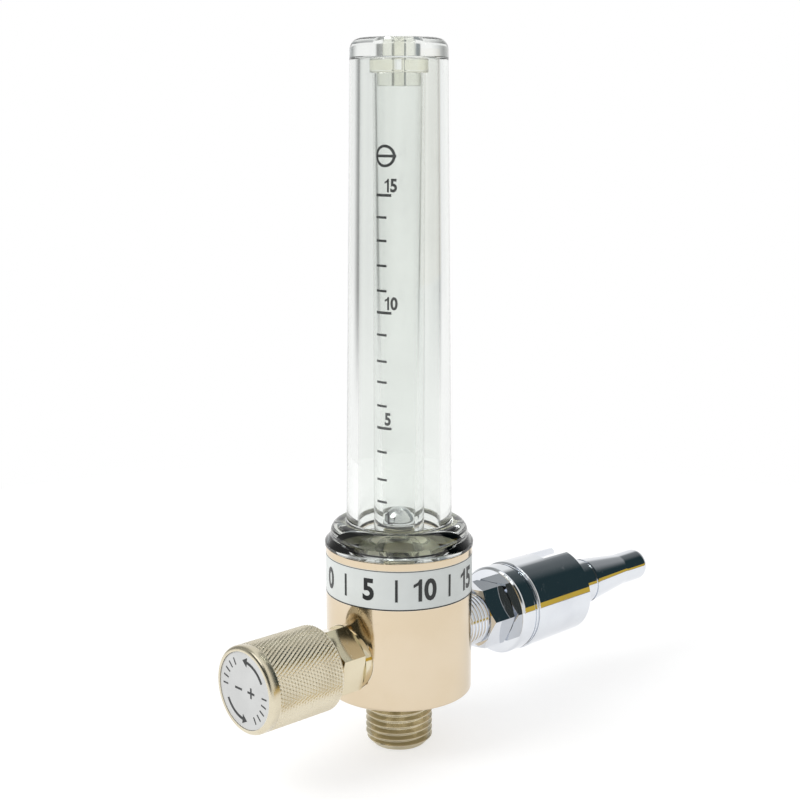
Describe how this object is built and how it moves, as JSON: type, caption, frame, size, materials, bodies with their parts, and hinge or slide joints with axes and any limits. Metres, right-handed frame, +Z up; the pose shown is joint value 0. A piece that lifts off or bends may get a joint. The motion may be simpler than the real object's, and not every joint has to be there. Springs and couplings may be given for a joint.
{
  "type": "oxygen flowmeter",
  "caption": "Upright medical flowmeter: clear tapered cover over a flow tube with a steel float, brass valve block, knurled knob, supply probe and threaded outlet below.",
  "frame": {"origin": "on the flow tube's axis, at the mouth of the outlet bore below the valve block", "axes": "+Z up along the flow tube, -Y towards the user along the knob, +Y towards the wall along the supply probe"},
  "size_m": [0.0314, 0.1235, 0.1488],
  "materials": {
    "nickelled_brass": "champagne nickel plate, polished",
    "bright_nickel": "nickel plate over brass",
    "bare_brass": "turned, dull",
    "chrome_plate": "mirror chrome",
    "polished_steel": "polished",
    "clear_plastic": "clear, moulded, polished",
    "soft_stop": "soft translucent plastic",
    "label_film": "satin white film",
    "seal_rubber": "black rubber",
    "fibre": "brown sealing fibre"
  },
  "bodies": {
    "root": {"valve_block": "nickelled_brass", "label_band": "label_film", "outlet_nipple": "bare_brass", "outlet_ring": "seal_rubber", "clear_cover": "clear_plastic", "cover_ring": "seal_rubber", "flow_tube": "clear_plastic", "tube_ring": "seal_rubber", "ball_seat": "bare_brass", "top_cushion": "soft_stop", "valve_bonnet": "nickelled_brass", "bonnet_gasket": "fibre", "orifice_seat": "bare_brass", "inlet_nipple": "bright_nickel", "inlet_filter": "bare_brass", "union_nut": "chrome_plate", "union_seal": "fibre", "probe_stem": "chrome_plate", "probe_collar": "chrome_plate", "index_sleeve": "chrome_plate"},
    "spindle": {"needle_spindle": "polished_steel", "spindle_ring": "seal_rubber"},
    "knob": {"knob": "bright_nickel", "knob_screw": "polished_steel", "knob_disc": "label_film"},
    "float": {"float_ball": "polished_steel"}
  },
  "joints": [
    {"name": "spindle_travel", "type": "slide", "parent": "root", "child": "spindle", "axis": [0, -1, 0], "range_m": [0, 0.0025]},
    {"name": "knob_turn", "type": "hinge", "parent": "spindle", "child": "knob", "pos_m": [0, -0.03, 0.0225], "axis": [0, -1, 0], "range_deg": [0, 900]},
    {"name": "float_rise", "type": "slide", "parent": "root", "child": "float", "axis": [0, 0, 1], "range_m": [0, 0.086]}
  ],
  "couplings": [
    {"joint": "knob_turn", "follows": "spindle_travel", "rad_per_m": 6283.2}
  ]
}
